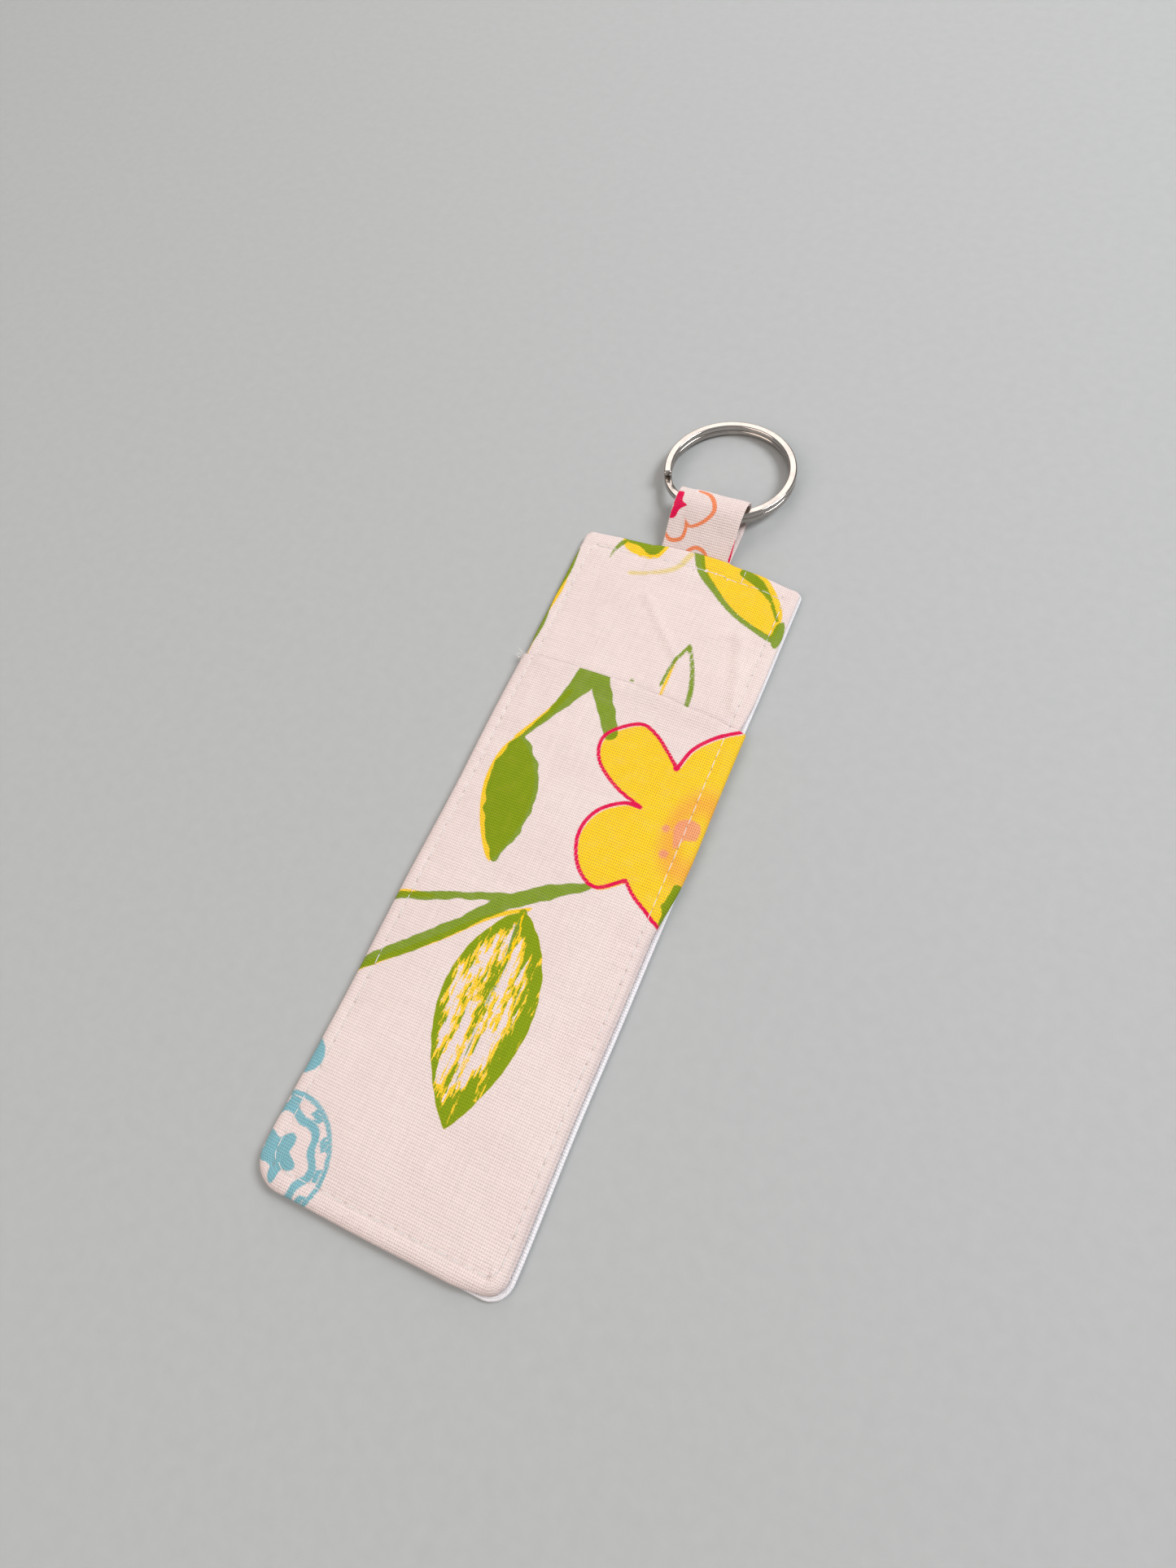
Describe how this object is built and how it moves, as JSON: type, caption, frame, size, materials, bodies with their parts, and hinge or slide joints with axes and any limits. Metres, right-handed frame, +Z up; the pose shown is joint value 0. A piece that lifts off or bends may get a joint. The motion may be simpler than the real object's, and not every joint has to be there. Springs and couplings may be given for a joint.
{
  "type": "keychain pocket sleeve",
  "caption": "Flat sewn cotton sleeve with an open slip pocket on its face, a folded cloth loop in its top seam and a double-wound split ring.",
  "frame": {"origin": "on the table under the middle of the whole object's box", "axes": "+Y along the sleeve from its closed bottom towards the split ring, +Z up out of the pocket face, +X to the right"},
  "size_m": [0.0508, 0.189, 0.0074],
  "materials": {
    "front_cotton": "printed plain-weave quilting cotton, white ground",
    "pocket_cotton": "printed plain-weave quilting cotton, white ground with yellow flower and green leaves",
    "back_cotton": "plain-weave white cotton",
    "tab_cotton": "printed plain-weave cotton, folded in four",
    "fleece": "soft fusible fleece",
    "thread": "spun polyester sewing thread, white",
    "nickel_wire": "bright nickel-plated steel wire"
  },
  "bodies": {
    "sleeve": {"back_panel": "back_cotton", "front_panel": "front_cotton", "pocket_panel": "pocket_cotton", "interlining": "fleece", "tab_tails": "tab_cotton", "topstitch_thread": "thread", "bobbin_thread": "thread", "seam_thread": "thread"},
    "tab": {"tab_loop": "tab_cotton"},
    "ring": {"split_ring": "nickel_wire"}
  },
  "joints": [
    {"name": "tab_flex", "type": "hinge", "parent": "sleeve", "child": "tab", "pos_m": [-0.0002, 0.05666, 0.00108], "axis": [1, 0, 0], "range_deg": [-90, 90]},
    {"name": "ring_swing", "type": "hinge", "parent": "tab", "child": "ring", "pos_m": [-0.0006, 0.06686, 0.00378], "axis": [1, 0, 0], "range_deg": [-100, 100]}
  ]
}
